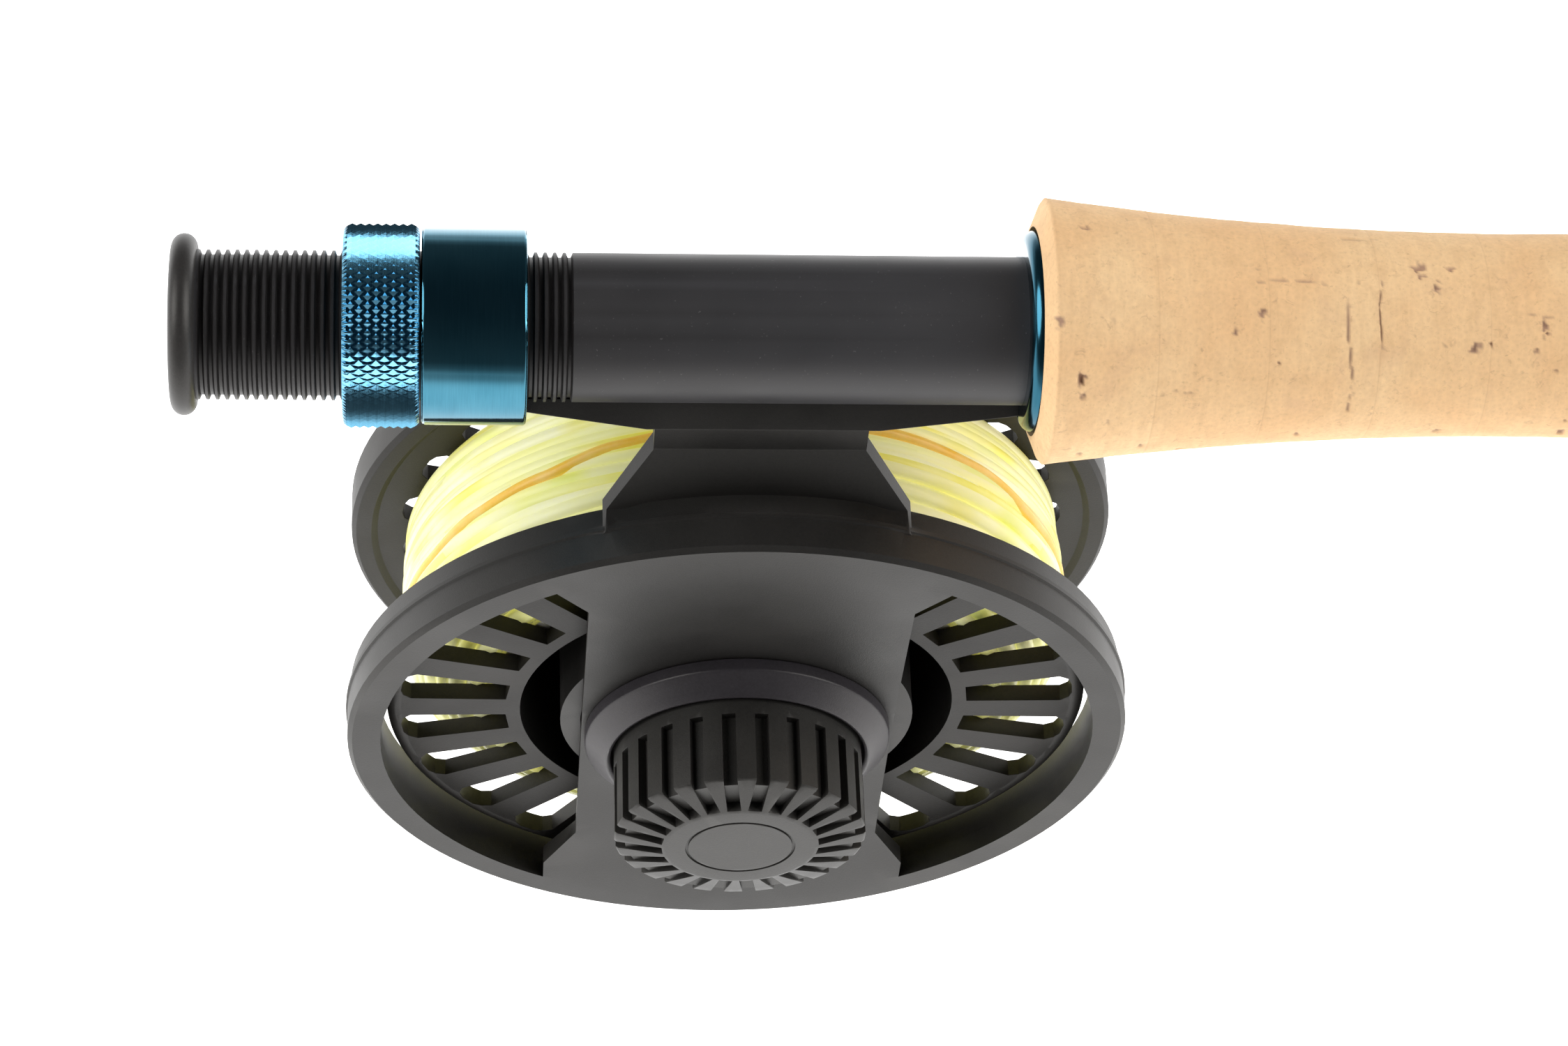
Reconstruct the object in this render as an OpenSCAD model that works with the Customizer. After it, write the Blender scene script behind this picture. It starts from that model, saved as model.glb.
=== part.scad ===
// Fly fishing rod with a fly reel mounted in its seat. Millimetres.
// The rod lies along X with its butt end at the origin, the reel hangs towards -Z and spins about Y.

/* [Reel seat] */
// Radius of the threaded seat barrel
seat_r = 8.5; // [8:0.1:9]
// Distance between two thread crests
thread_pitch = 1.085; // [1:0.005:1.2]
// Radius of the rounded rim of the butt cap
cap_r = 10.3; // [10:0.1:11]
// Thickness of the butt cap's rim
cap_len = 2.9; // [2.4:0.1:3.2]
// Outer radius of the knurled lock ring
lock_r = 11.6; // [11.4:0.1:12.5]
// Length of the lock ring
lock_len = 8.6; // [7:0.1:8.6]
// Outer radius of the sliding hood
hood_r = 11.2; // [11.1:0.1:11.6]
// Length of the sliding hood
hood_len = 11.9; // [11:0.1:11.9]
// Distance that the hood slides back to free the reel

/* [Cork grip] */
// Length of the grip
grip_len = 165; // [150:5:180]
// Number of glued cork rings
cork_rings = 13; // [11:1:15]
// Largest radius, at the reel seat
grip_r = 15.3; // [14.5:0.1:16]
// Radius at the waist
waist_r = 11.7; // [11.4:0.1:12.2]
// Radius at the swell under the palm
palm_r = 12.6; // [12.4:0.1:13]
// Radius at the front end
nose_r = 7.6; // [7:0.1:8]

/* [Rod] */
// Length of the whole rod with all four sections joined
rod_len = 2743; // [2700:1:2800]
// Radius of the butt blank under the grip
butt_r = 4.9; // [4.5:0.1:5]
// Radius of the plug end of the butt blank
plug_1_r = 3.5; // [3.2:0.1:3.6]
// Radius of the plug end of the second blank
plug_2_r = 2.65; // [2.4:0.05:2.7]
// Radius of the plug end of the third blank
plug_3_r = 1.75; // [1.6:0.05:1.8]
// Radius of the blank at the tip
tip_r = 0.8; // [0.7:0.05:0.9]
// Length of each plug
plug_len = 45; // [35:1:50]

/* [Reel] */
// Outer radius of the frame ring and of the spool's palming rim
ring_r = 48.4; // [47:0.1:49]
// Distance of the spool's axis below the rod's axis
reel_drop = 68.3; // [67.5:0.1:69]
// Place of the spool's axis along the rod
reel_x = 67.4; // [66:0.1:69]
// Distance of the frame's outer face from the rod's centre plane
face_y = 17.5; // [17.2:0.1:18]
// Thickness of the frame plate
plate_t = 2.6; // [2:0.1:3]
// Half the width of the plate between its two windows
plate_half = 19.4; // [18.5:0.1:20]
// Radius of the drag knob
knob_r = 15.5; // [14.5:0.1:15.7]
// Number of ribs on the drag knob
knob_ribs = 24; // [20:1:28]
// Number of slots in each spool flange
spool_slots = 24; // [18:1:28]
// Outer radius of the wound fly line
line_r = 41.4; // [36:0.1:42]

/* [Hidden] */

round_fn = 96;
small_fn = 48;
wire_sides = 8;
// Radial clearance of a running fit
fit = 0.05;
// Gap kept between faces that pass each other without a fit
gap = 0.3;

// Reel seat
barrel_bore_r = 6.5;
thread_depth = 0.55;
thread_root = 0.38;
thread_start_x = cap_len + 0.7;
thread_end_x = 45.8;
lock_x = 19.35;
hood_x = lock_x + lock_len + 0.2;
hood_end_x = hood_x + hood_len;
cap_plug_len = 6;

// Reel foot, an arched bar that follows the barrel
foot_x0 = 35.5;
foot_x1 = 101.5;
foot_tip_t = 1.15;
foot_neck_t = 1.95;
foot_mid_t = 3.7;
foot_half_angle = 40;
pocket_half_angle = 45;
foot_bed_half = 13.5;

// Grip
grip_x = 97.8;
barrel_end_x = grip_x + 2 * grip_len / cork_rings;
ring_len = grip_len / cork_rings;
glue_line = 0.03;
grip_peak_x = grip_x + 1.2;
waist_x = 152.5;
palm_x = 195;
grip_end_x = grip_x + grip_len;
front_x = 96.6;
front_r = 11.55;
front_bead = 2.7;
sleeve_r = 11;
mouth_r = 12;
mouth_len = 1.8;
check_len = 3.2;

// Rod sections
straight_x = 305;
plug_1_x = 700;
plug_2_x = 1385;
plug_3_x = 2070;
wall = 0.8;
sleeve_wall = 0.75;
bind_t = 0.5;
foot_bind_len = 9;
keeper_x = 286;
strip_x = [762, 1054];
strip_ring_r = [5.2, 4.2];
snake_x_2 = [1321];
snake_x_3 = [1562, 1778, 1981];
snake_x_tip = [2159, 2324, 2476, 2616];
snake_r = [3.4, 3.0, 2.7, 2.4, 2.2, 2.0, 1.9, 1.8];
snake_len = 9;
wire_r = 0.42;
tip_tube_len = 9;
tip_loop_r = 2.6;

// Reel
reel_z = -reel_drop;
ring_width = 7.5;
ring_inner_r = 44.6;
window_r = 44.3;
plate_back_y = plate_t - face_y;
window_top = 32.4;
window_low = 26.3;
window_corner = 23.4;
window_top_out = 37.8;
window_low_out = 33.9;
dish_r = 44;
dish_depth = 1.75;
cup_r = 22;
cup_inner_r = 19.5;
cup_end_y = 2;
spindle_r = 3;
neck_half = 12.4;
neck_flare = 18.1;
flange_r = 43.6;
flange_y = -12.4;
flange_t = 2.2;
rim_bead_r = 1.25;
arbor_inner_r = 27;
arbor_outer_r = 28.6;
far_y = 13;
far_t = 2.2;
rim_end_y = 18.6;
rim_in_r = 45.8;
slot_in_r = 28.8;
slot_out_r = 42;
slot_w_in = 3.6;
slot_w_out = 6.2;
web_y = 10.6;
hub_r = 9;
hub_wall_r = 12.5;
spool_face_y = far_y + far_t;
bezel_r = 19;
bezel_in_r = 15.8;
bezel_lip_r = 16.4;
bezel_front_y = -19.8;
bezel_seat_y = -face_y + dish_depth;
knob_face_y = -31.9;
knob_edge_y = -30.3;
knob_disc_r = 9.15;
knob_back_y = -18.4;
rib_depth = 1.3;
rib_gap = 1.7;
gear_r = 13.6;
gear_teeth = 30;
gear_y = -7;
gear_t = 1.6;
pawl_r = 16.9;
pawl_angle = 60;
handle_r = 36;
handle_len = 23;
knob_gap = 0.5;
post_r = 2;

// Frames of reference: the rod's axis and the spool's axis
module along_rod(x = 0) translate([x, 0, 0]) rotate([0, 90, 0]) children();
module on_spin(y = 0) translate([reel_x, y, reel_z]) rotate([-90, 0, 0]) children();

module tube(r_out, r_in, h, fn = round_fn) {
    difference() {
        cylinder(r = r_out, h = h, $fn = fn);
        translate([0, 0, -1]) cylinder(r = r_in, h = h + 2, $fn = fn);
    }
}

// A solid of revolution whose profile points are [radius, place along the axis]
module turned(points, fn = round_fn) rotate_extrude($fn = fn) polygon(points);

function unit(v) = v / norm(v);

// A round wire swept along a path
module wire(path, r) {
    last = len(path) - 1;
    rings = [
        for (i = [0 : last])
            let (
                ahead = unit(path[min(i + 1, last)] - path[max(i - 1, 0)]),
                side = unit(cross(ahead, [0, 0.28, 0.96])),
                up = cross(side, ahead)
            )
            for (k = [0 : wire_sides - 1])
                let (a = 360 * k / wire_sides)
                path[i] + r * (cos(a) * side + sin(a) * up)
    ];
    walls = [
        for (i = [0 : last - 1])
            for (k = [0 : wire_sides - 1])
                let (m = (k + 1) % wire_sides)
                [i * wire_sides + k, (i + 1) * wire_sides + k, (i + 1) * wire_sides + m, i * wire_sides + m]
    ];
    first_cap = [[for (k = [0 : wire_sides - 1]) k]];
    last_cap = [[for (k = [wire_sides - 1 : -1 : 0]) last * wire_sides + k]];
    polyhedron(points = rings, faces = concat(walls, first_cap, last_cap), convexity = 6);
}

// ---------- Reel seat ----------

module butt_cap() {
    bead_r = cap_len / 2;
    color([0.11, 0.1, 0.1])
    along_rod() {
        rotate_extrude($fn = round_fn) {
            square([cap_r - bead_r, cap_len]);
            translate([cap_r - bead_r, bead_r]) circle(r = bead_r, $fn = small_fn);
        }
        translate([0, 0, cap_len]) cylinder(r = barrel_bore_r, h = cap_plug_len, $fn = round_fn);
    }
}

module seat_barrel() {
    crests = floor((thread_end_x - thread_start_x) / thread_pitch);
    root_r = seat_r - thread_depth;
    shoulder = 0.2;
    grooves = [
        for (i = [0 : crests])
            let (x = thread_start_x + i * thread_pitch)
            each [
                [seat_r, x - thread_root / 2 - shoulder],
                [root_r, x - thread_root / 2 + 0.02],
                [root_r, x + thread_root / 2 - 0.02],
                [seat_r, x + thread_root / 2 + shoulder]
            ]
    ];
    color([0.09, 0.085, 0.085])
    along_rod()
    turned(concat(
        [[barrel_bore_r, cap_len], [seat_r, cap_len]],
        grooves,
        [[seat_r, barrel_end_x], [barrel_bore_r, barrel_end_x]]
    ));
}

module seat_arbor() {
    start_x = cap_len + cap_plug_len;
    color([0.35, 0.3, 0.26])
    along_rod(start_x) tube(barrel_bore_r, butt_r, barrel_end_x - start_x);
}

module lock_ring() {
    edge = 0.7;
    color([0.2, 0.5, 0.68])
    along_rod(lock_x)
    turned([
        [seat_r + fit, 0], [lock_r - edge, 0], [lock_r, edge], [lock_r, lock_len - edge],
        [lock_r - edge, lock_len], [seat_r + fit, lock_len]
    ]);
}

// Room inside a hood for one tip of the reel foot
module foot_pocket(x0, x1) {
    pocket_r = seat_r + foot_neck_t + gap;
    along_rod(x0)
    rotate([0, 0, -pocket_half_angle])
    rotate_extrude(angle = 2 * pocket_half_angle, $fn = round_fn)
    translate([barrel_bore_r, 0]) square([pocket_r - barrel_bore_r, x1 - x0]);
}

module slide_hood() {
    edge = 0.25;
    color([0.05, 0.2, 0.28])
    difference() {
        along_rod(hood_x)
        turned([
            [seat_r + fit, 0], [hood_r - edge, 0], [hood_r, edge], [hood_r, hood_len - edge],
            [hood_r - edge, hood_len], [seat_r + fit, hood_len]
        ]);
        foot_pocket(foot_x0 - gap, hood_end_x + 1);
    }
}

module front_hood() {
    bead_r = front_bead / 2;
    sleeve_end = grip_x + ring_len;
    color([0.08, 0.3, 0.42])
    difference() {
        along_rod(front_x)
        rotate_extrude($fn = round_fn) {
            translate([seat_r, 0]) square([front_r - bead_r - seat_r, front_bead]);
            translate([front_r - bead_r, bead_r]) circle(r = bead_r, $fn = small_fn);
            translate([seat_r, front_bead]) square([sleeve_r - seat_r, sleeve_end - front_x - front_bead]);
        }
        difference() {
            foot_pocket(front_x - 1, foot_x1 + gap);
            along_rod(front_x - 2) cylinder(r = seat_r, h = 20, $fn = round_fn);
        }
    }
}

// ---------- Cork grip ----------

// Radius of the grip at a place along the rod
function grip_radius(x) =
    x < grip_peak_x ? mouth_r + 0.3 + (grip_r - mouth_r - 0.3) * (x - grip_x) / (grip_peak_x - grip_x) :
    x < waist_x ? waist_r + (grip_r - waist_r) * pow((waist_x - x) / (waist_x - grip_peak_x), 2) :
    x < palm_x ? waist_r + (palm_r - waist_r) * (1 - cos(180 * (x - waist_x) / (palm_x - waist_x))) / 2 :
    nose_r + (palm_r - nose_r) * (1 + cos(180 * (x - palm_x) / (grip_end_x - palm_x))) / 2;

module cork_ring(i) {
    steps = 5;
    x0 = grip_x + i * ring_len;
    inner_r = i == 0 ? sleeve_r : i == 1 ? seat_r : butt_r;
    first = i == 0 ? [[mouth_r, 0], [mouth_r + 0.3, 0], [grip_r, grip_peak_x - grip_x]] :
        [[inner_r, 0], [grip_radius(x0), 0]];
    thick = ring_len - glue_line;
    outer = [for (k = [1 : steps]) let (d = thick * k / steps) [grip_radius(x0 + d), d]];
    mouth = i == 0 ? [[sleeve_r, mouth_len], [mouth_r, mouth_len]] : [];
    along_rod(x0) turned(concat(first, outer, [[inner_r, thick]], mouth));
}

module cork_grip() {
    color([0.87, 0.68, 0.47])
    for (i = [0 : cork_rings - 1]) cork_ring(i);
}

module winding_check() {
    color([0.25, 0.55, 0.7])
    along_rod(grip_end_x)
    turned([[butt_r, 0], [nose_r - 0.2, 0], [nose_r - 0.2, 0.8], [butt_r + 0.6, check_len],
        [butt_r, check_len]]);
}

// ---------- Blanks ----------

// A tapered hollow blank. The plug is its upper end, and the socket, where there is one, its lower end.
module blank(x0, straight_end, base_r, plug_end, plug_r, socket_r) {
    has_socket = socket_r > 0;
    socket = has_socket ? [[socket_r, 0], [socket_r, plug_len + 1]] : [[base_r - 2 * wall, 0]];
    taper_r = has_socket ? min(base_r - wall, socket_r - 0.2) : base_r - 2 * wall;
    taper_x = has_socket ? plug_len + 1 : straight_end - x0;
    total = plug_end - x0;
    bore_end_r = max(plug_r - wall, 0.3);
    color([0.07, 0.08, 0.1])
    along_rod(x0)
    turned(concat(
        socket,
        [[taper_r, taper_x], [bore_end_r, total - plug_len], [bore_end_r, total], [plug_r, total]],
        [[plug_r, total - plug_len], [base_r, straight_end - x0], [base_r, 0]]
    ), small_fn);
}

socket_1_r = plug_1_r + sleeve_wall;
socket_2_r = plug_2_r + sleeve_wall;
socket_3_r = plug_3_r + sleeve_wall;

module blank_butt() blank(cap_len + cap_plug_len, straight_x, butt_r, plug_1_x, plug_1_r, 0);
module blank_2() blank(plug_1_x - plug_len, plug_1_x + 5, socket_1_r, plug_2_x, plug_2_r, plug_1_r + fit);
module blank_3() blank(plug_2_x - plug_len, plug_2_x + 5, socket_2_r, plug_3_x, plug_3_r, plug_2_r + fit);

module blank_tip() {
    x0 = plug_3_x - plug_len;
    color([0.07, 0.08, 0.1])
    along_rod(x0)
    turned([
        [plug_3_r + fit, 0], [plug_3_r + fit, plug_len + 1], [0, plug_len + 1.2],
        [0, rod_len - x0 - 3], [tip_r, rod_len - x0 - 3], [tip_r, rod_len - x0 - 3 - tip_tube_len],
        [socket_3_r, plug_len + 5], [socket_3_r, 0]
    ], small_fn);
}

// Outer radius of the blanks at a place along the rod
function taper(x, x0, r0, x1, r1) = r0 + (r1 - r0) * min(max((x - x0) / (x1 - x0), 0), 1);
function blank_radius(x) =
    x < plug_1_x - plug_len ? taper(x, straight_x, butt_r, plug_1_x - plug_len, plug_1_r) :
    x < plug_2_x - plug_len ? taper(x, plug_1_x + 5, socket_1_r, plug_2_x - plug_len, plug_2_r) :
    x < plug_3_x - plug_len ? taper(x, plug_2_x + 5, socket_2_r, plug_3_x - plug_len, plug_3_r) :
    taper(x, plug_3_x + 5, socket_3_r, rod_len - 3 - tip_tube_len, tip_r);

// A binding of thread round the blank
module binding(x0, length) {
    x1 = x0 + length;
    r0 = blank_radius(x0);
    r1 = blank_radius(x1);
    along_rod(x0)
    turned([
        [r0, 0], [r0 + bind_t * 0.4, 0], [r0 + bind_t, 1], [r1 + bind_t, length - 1],
        [r1 + bind_t * 0.4, length], [r1, length]
    ], small_fn);
}

module guide_bindings(places, half) {
    for (x = places) {
        binding(x - half - foot_bind_len, foot_bind_len);
        binding(x + half, foot_bind_len);
    }
}

strip_half = 11;
snake_half = snake_len / 2 + 1;

module bindings_2() {
    color([0.1, 0.25, 0.36]) {
        binding(plug_1_x - plug_len, 12);
        guide_bindings(strip_x, strip_half);
        guide_bindings(snake_x_2, snake_half);
    }
}

module bindings_3() {
    color([0.1, 0.25, 0.36]) {
        binding(plug_2_x - plug_len, 10);
        guide_bindings(snake_x_3, snake_half);
    }
}

module bindings_tip() {
    color([0.1, 0.25, 0.36]) {
        binding(plug_3_x - plug_len, 9);
        guide_bindings(snake_x_tip, snake_half);
    }
}

module keeper_binding() {
    color([0.1, 0.25, 0.36]) {
        binding(keeper_x - 14, 8);
        binding(keeper_x + 6, 8);
    }
}

module hook_keeper() {
    reach = 6.2;
    low = -butt_r - wire_r;
    path = concat(
        [[-12, 0, low], [-7, 0, low]],
        [for (a = [0 : 15 : 180]) [-5.5 * cos(a), 0, low - reach * sin(a)]],
        [[7, 0, low], [12, 0, low]]
    );
    color([0.62, 0.63, 0.65])
    translate([keeper_x, 0, 0]) wire(path, wire_r);
}

// ---------- Line guides ----------

// A snake guide: one helical turn of wire with a foot bound down at each end
module snake_guide(x, loop_r) {
    foot = snake_half + foot_bind_len - 1 - snake_len / 2;
    low_in = -blank_radius(x - snake_half) - wire_r;
    low_out = -blank_radius(x + snake_half) - wire_r;
    loop = [
        for (a = [0 : 20 : 360])
            let (t = a / 360)
            [
                snake_len * (t - 0.5),
                loop_r * sin(a),
                low_in + (low_out - low_in) * t - loop_r * (1 - cos(a))
            ]
    ];
    path = concat(
        [[-snake_len / 2 - foot, 0, low_in], [-snake_len / 2 - 0.8, 0, low_in]],
        loop,
        [[snake_len / 2 + 0.8, 0, low_out], [snake_len / 2 + foot, 0, low_out]]
    );
    translate([x, 0, 0]) wire(path, wire_r);
}

module snake_guide_2() {
    color([0.66, 0.67, 0.69])
    snake_guide(snake_x_2[0], snake_r[0]);
}

module snake_guides_3() {
    color([0.66, 0.67, 0.69])
    for (i = [0 : 2]) snake_guide(snake_x_3[i], snake_r[i + 1]);
}

module snake_guides_tip() {
    color([0.66, 0.67, 0.69])
    for (i = [0 : 3]) snake_guide(snake_x_tip[i], snake_r[i + 4]);
}

insert_t = 1.0;
insert_len = 2.4;
frame_t = 1.1;
leg_r = 0.4;
leg_lean = 38;

strip_rise = 4.2;

function strip_low(i) = -blank_radius(strip_x[i]) - strip_rise - strip_ring_r[i];

// A straight round bar between two points
module strut(a, b, r) {
    d = b - a;
    translate(a)
    rotate([0, acos(d[2] / norm(d)), atan2(d[1], d[0])])
    cylinder(r = r, h = norm(d), $fn = small_fn);
}

// One end of a stripping guide: a flat foot under the binding and two legs up to the ring's sides
module guide_foot(i, end) {
    reach = strip_ring_r[i] + insert_t + frame_t / 2;
    x = strip_x[i] + end * strip_half;
    top = -blank_radius(x);
    translate([x + end * (foot_bind_len / 2 - 1), 0, top - 0.4])
    cube([foot_bind_len, 2.2, 0.8], center = true);
    for (side = [-1, 1])
        strut(
            [x, side * 0.5, top - 0.45],
            [strip_x[i] + end * 0.4, side * reach * sin(leg_lean), strip_low(i) + reach * cos(leg_lean)],
            leg_r
        );
}

module stripping_frames() {
    outer = insert_t + frame_t;
    color([0.5, 0.52, 0.55])
    for (i = [0, 1]) {
        translate([strip_x[i] - insert_len / 2, 0, strip_low(i)])
        rotate([0, 90, 0])
        tube(strip_ring_r[i] + outer, strip_ring_r[i] + insert_t, insert_len, small_fn);
        guide_foot(i, 1);
        guide_foot(i, -1);
    }
}

module guide_inserts() {
    edge = 0.5;
    color([0.05, 0.05, 0.05])
    for (i = [0, 1])
        translate([strip_x[i] - insert_len / 2, 0, strip_low(i)])
        rotate([0, 90, 0])
        turned([
            [strip_ring_r[i], edge], [strip_ring_r[i] + edge, 0], [strip_ring_r[i] + insert_t, 0],
            [strip_ring_r[i] + insert_t, insert_len], [strip_ring_r[i] + edge, insert_len],
            [strip_ring_r[i], insert_len - edge]
        ], small_fn);
}

module tip_top() {
    tube_x = rod_len - 3 - tip_tube_len;
    loop_x = rod_len - 2;
    loop_t = 0.6;
    loop_z = -tip_r - 0.45 - tip_loop_r;
    color([0.66, 0.67, 0.69]) {
        along_rod(tube_x) tube(tip_r + 0.4, tip_r, tip_tube_len, small_fn);
        along_rod(rod_len - 3) cylinder(r = tip_r + 0.4, h = 0.8, $fn = small_fn);
        translate([loop_x - 0.7, 0, loop_z])
        rotate([0, 90, 0])
        tube(tip_loop_r + loop_t, tip_loop_r, 1.4, small_fn);
    }
}

// ---------- Reel frame ----------

// One of the two D-shaped windows of the plate
module window(side) {
    intersection() {
        translate([0, 0, -face_y - 1]) cylinder(r = window_r, h = plate_t + 2, $fn = 180);
        translate([0, 0, -face_y - 2])
        linear_extrude(plate_t + 4)
        polygon([
            for (q = [
                [plate_half, window_low], [plate_half, -window_top], [window_corner, -window_top_out],
                [window_corner, -ring_r], [ring_r, -ring_r], [ring_r, ring_r], [window_corner, ring_r],
                [window_corner, window_low_out]
            ]) [side * q[0], q[1]]
        ]);
    }
}

// Neck between the frame ring and the reel foot: an outline from the front met by an outline from the side
module neck() {
    root_y = -face_y + ring_width - 0.5;
    waist_y = 6.1;
    difference() {
        intersection() {
            translate([reel_x, 0, 0])
            rotate([90, 0, 0])
            linear_extrude(60, center = true)
            polygon([
                [-neck_half, -8], [-neck_half, -15.6], [-neck_flare, -23.4], [-neck_flare, -27],
                [neck_flare, -27], [neck_flare, -23.4], [neck_half, -15.6], [neck_half, -8]
            ]);
            translate([reel_x, 0, 0])
            rotate([90, 0, 90])
            linear_extrude(60, center = true)
            polygon([
                [root_y - 3, reel_z + 45.3], [root_y, reel_z + 45.5], [-6.6, -15.4],
                [-waist_y, -6], [waist_y, -6], [waist_y, -14.2], [-4.3, -15.6],
                [root_y + 1.6, reel_z + 44.8], [root_y - 3, reel_z + 44.8]
            ]);
        }
        along_rod(-10) cylinder(r = seat_r + foot_mid_t, h = 200, $fn = round_fn);
    }
}

module reel_frame() {
    edge = 0.6;
    bump = 0.22;
    bump_y = -face_y + 4.2;
    recess_y = -face_y + 1.2;
    band_end_y = -face_y + ring_width;
    color([0.13, 0.125, 0.12])
    difference() {
        union() {
            on_spin()
            turned([
                [spindle_r, recess_y], [bezel_in_r, recess_y], [bezel_in_r, bezel_seat_y],
                [bezel_r + 0.4, bezel_seat_y], [dish_r, -face_y],
                [ring_r - edge, -face_y], [ring_r, -face_y + edge], [ring_r, bump_y],
                [ring_r + bump, bump_y + 0.2], [ring_r + bump, bump_y + 0.7], [ring_r - 0.1, bump_y + 0.9],
                [ring_r - 0.3, band_end_y], [ring_inner_r, band_end_y], [ring_inner_r, plate_back_y],
                [cup_r, plate_back_y], [cup_r, cup_end_y], [cup_inner_r, cup_end_y],
                [cup_inner_r, plate_back_y], [spindle_r, plate_back_y]
            ], 180);
            neck();
        }
        on_spin() {
            window(1);
            window(-1);
        }
        foot_screw_holes();
    }
}

foot_screw_x = [-8, 8];
foot_screw_r = 1.4;

screw_head_z = -16.2;
screw_head_r = 2.2;

module foot_screw_holes() {
    for (x = foot_screw_x)
        translate([reel_x + x, 0, -25]) {
            cylinder(r = foot_screw_r, h = 20, $fn = small_fn);
            cylinder(r = screw_head_r + 0.2, h = 25 + screw_head_z, $fn = small_fn);
        }
}

// Outline of the foot's arched bar: distance from the rod's axis, then the place along it
function foot_profile() = [
    [seat_r, foot_x0], [seat_r + foot_tip_t - 0.3, foot_x0], [seat_r + foot_tip_t, foot_x0 + 0.8],
    [seat_r + foot_neck_t, foot_x0 + 6], [seat_r + foot_mid_t, reel_x - foot_bed_half],
    [seat_r + foot_mid_t, reel_x + foot_bed_half], [seat_r + foot_neck_t, foot_x1 - 6],
    [seat_r + foot_tip_t, foot_x1 - 0.8], [seat_r + foot_tip_t - 0.3, foot_x1], [seat_r, foot_x1]
];

module reel_foot() {
    color([0.12, 0.115, 0.115])
    difference() {
        along_rod()
        rotate([0, 0, -foot_half_angle])
        rotate_extrude(angle = 2 * foot_half_angle, $fn = round_fn) polygon(foot_profile());
        foot_screw_holes();
    }
}

module foot_screws() {
    head_t = 1.4;
    shank = -screw_head_z - seat_r - 0.6;
    color([0.55, 0.56, 0.58])
    for (x = foot_screw_x)
        translate([reel_x + x, 0, screw_head_z]) {
            cylinder(r = foot_screw_r, h = shank, $fn = small_fn);
            difference() {
                translate([0, 0, -head_t]) cylinder(r = screw_head_r, h = head_t, $fn = small_fn);
                translate([0, 0, -head_t - 0.5]) cylinder(r = 1, h = 1.2, $fn = 6);
            }
        }
}

// ---------- Drag ----------

module drag_bezel() {
    color([0.16, 0.15, 0.16])
    on_spin()
    turned([
        [bezel_in_r, bezel_front_y + 0.3], [bezel_lip_r - 0.2, bezel_front_y + 0.05],
        [bezel_lip_r, bezel_front_y],
        [bezel_r - 0.25, -face_y - 0.05], [bezel_r, -face_y + 0.2], [bezel_r, bezel_seat_y],
        [bezel_in_r, bezel_seat_y]
    ]);
}

module drag_knob() {
    slots = [for (k = [0 : knob_ribs - 1]) 360 * (k + 0.5) / knob_ribs];
    engraved_r = 6.6;
    color([0.2, 0.2, 0.19])
    on_spin()
    difference() {
        turned([
            [0, knob_back_y], [knob_r - 0.1, knob_back_y], [knob_r, knob_edge_y],
            [knob_r - 0.3, knob_edge_y - 0.25],
            [knob_disc_r, knob_face_y], [0, knob_face_y]
        ]);
        for (a = slots)
            rotate([0, 0, a]) {
                translate([knob_r - rib_depth, -rib_gap / 2, knob_face_y - 1])
                cube([4, rib_gap, knob_back_y - 2 - knob_face_y]);
                translate([knob_disc_r + 0.5, -rib_gap / 2, knob_face_y - 1])
                cube([8, rib_gap, 2.35]);
            }
        translate([0, 0, knob_face_y - 1]) tube(engraved_r + 0.18, engraved_r - 0.18, 1.25);
        translate([0, 0, knob_back_y - 1.4]) cylinder(r = spindle_r + 2, h = 3, $fn = small_fn);
    }
}

module drag_stem() {
    color([0.6, 0.61, 0.62])
    on_spin()
    turned([
        [0, knob_back_y - 1.4], [spindle_r + 2, knob_back_y - 1.4], [spindle_r + 2, -face_y - 0.1],
        [0, -face_y - 0.1]
    ], small_fn);
}

module spindle() {
    bore_r = 1.3;
    color([0.66, 0.67, 0.68])
    on_spin()
    turned([
        [0, -face_y], [spindle_r, -face_y], [spindle_r, web_y + 2], [bore_r, web_y + 2], [bore_r, 2], [0, 2]
    ], small_fn);
}

spring_t = 0.6;

module spring_washers() {
    color([0.6, 0.6, 0.6])
    for (k = [0 : 1])
        on_spin(plate_back_y + k * 2 * spring_t) {
            turned([[spindle_r + 0.2, 0], [7.5, spring_t], [7.5, 2 * spring_t],
                [spindle_r + 0.2, spring_t]], small_fn);
        }
}

pressure_y = plate_back_y + 2.45;

module pressure_plate() {
    color([0.63, 0.64, 0.65])
    on_spin(pressure_y) {
        tube(17.5, spindle_r + 0.2, 1.2);
        for (a = [0, 120, 240])
            rotate([0, 0, a]) translate([17, -2, 0]) cube([1.8, 4, 1.2]);
    }
}

module carbon_washers() {
    color([0.06, 0.06, 0.06]) {
        on_spin(pressure_y + 1.2) tube(17, 5, 0.6);
        on_spin(pressure_y + 3) tube(17, 5, 0.6);
    }
}

module drag_disc() {
    color([0.7, 0.7, 0.71])
    on_spin(pressure_y + 1.85) tube(17.4, spindle_r + 0.3, 1.1);
}

hub_flange_y = pressure_y + 3.65;

module drag_hub() {
    color([0.55, 0.56, 0.58])
    on_spin()
    turned([
        [5.6, hub_flange_y], [15.5, hub_flange_y], [15.5, gear_y - 0.05], [hub_r, gear_y - 0.05],
        [hub_r, web_y - 1], [5.6, web_y - 1]
    ]);
}

module one_way_clutch() {
    color([0.68, 0.68, 0.7])
    on_spin(hub_flange_y + 0.4) tube(5.6, spindle_r + fit, 9);
}

module hub_bush() {
    color([0.72, 0.58, 0.3])
    on_spin(hub_flange_y + 9.6) tube(5.6, spindle_r + fit, 4.5);
}

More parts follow.
